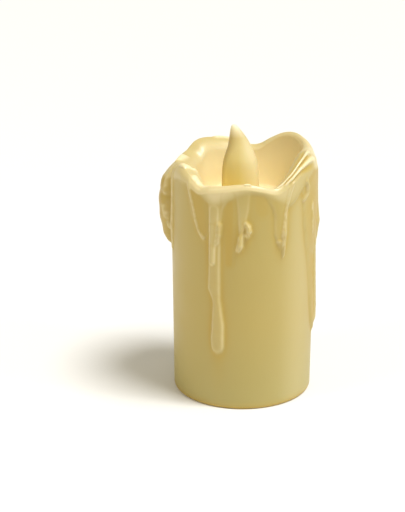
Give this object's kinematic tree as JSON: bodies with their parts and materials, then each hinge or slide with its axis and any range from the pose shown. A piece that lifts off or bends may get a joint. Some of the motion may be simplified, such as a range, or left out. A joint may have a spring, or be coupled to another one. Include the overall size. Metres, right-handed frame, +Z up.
{
  "type": "flameless led candle",
  "caption": "Battery LED candle with a drip-moulded wax-look shell, a bent leaf-shaped flame lens in a shallow well, a base switch and a hinged battery door.",
  "frame": {"origin": "centre of the base plate's flat outer face, on the surface that the candle stands on", "axes": "+Z up along the candle, -Y towards the front, +X to the right seen from the front"},
  "size_m": [0.0562, 0.0528, 0.0976],
  "materials": {
    "wax_plastic": "cream wax-look moulded plastic, soft gloss",
    "flame_lens": "translucent amber-cream, satin",
    "led_epoxy": "clear warm epoxy",
    "tinned_metal": "tinned, semi-bright",
    "white_plastic": "matte white",
    "board_laminate": "green solder mask on glass-epoxy",
    "screw_steel": "zinc-plated",
    "black_plastic": "matte black",
    "capacitor_can": "sleeved can",
    "resistor_body": "lacquered",
    "base_plastic": "cream, finely textured",
    "contact_nickel": "nickel-plated spring steel",
    "contact_brass": "bright brass",
    "cell_can": "plain printed sleeve over a steel can",
    "switch_steel": "bright plated",
    "terminal_resin": "brown phenolic",
    "red_insulation": "smooth insulation",
    "yellow_insulation": "smooth insulation",
    "black_insulation": "smooth insulation"
  },
  "bodies": {
    "candle": {"candle_shell": "wax_plastic", "flame_lens": "flame_lens", "led_lamp": "led_epoxy", "led_lead_anode": "tinned_metal", "led_lead_cathode": "tinned_metal", "led_spacer": "white_plastic", "circuit_board": "board_laminate", "board_screw_1": "screw_steel", "board_screw_2": "screw_steel", "timer_chip": "black_plastic", "capacitor": "capacitor_can", "resistor": "resistor_body", "base_carrier": "base_plastic", "base_screw_1": "screw_steel", "base_screw_2": "screw_steel", "base_screw_3": "screw_steel", "contact_positive": "contact_brass", "contact_negative": "contact_nickel", "battery_1": "cell_can", "battery_2": "cell_can", "switch_housing": "switch_steel", "switch_terminal_plate": "terminal_resin", "switch_pin_1": "tinned_metal", "switch_pin_2": "tinned_metal", "switch_pin_3": "tinned_metal", "wire_cell_to_switch": "red_insulation", "wire_switch_to_board": "yellow_insulation", "wire_cell_to_board": "black_insulation"},
    "door": {"battery_door": "base_plastic", "door_contact": "contact_nickel"},
    "knob": {"switch_knob": "black_plastic"}
  },
  "joints": [
    {"name": "door_hinge", "type": "hinge", "parent": "candle", "child": "door", "pos_m": [0, 0.0157, 0.0003], "axis": [1, 0, 0], "range_deg": [0, 60]},
    {"name": "switch_slide", "type": "slide", "parent": "candle", "child": "knob", "axis": [1, 0, 0], "range_m": [0, 0.002]}
  ]
}
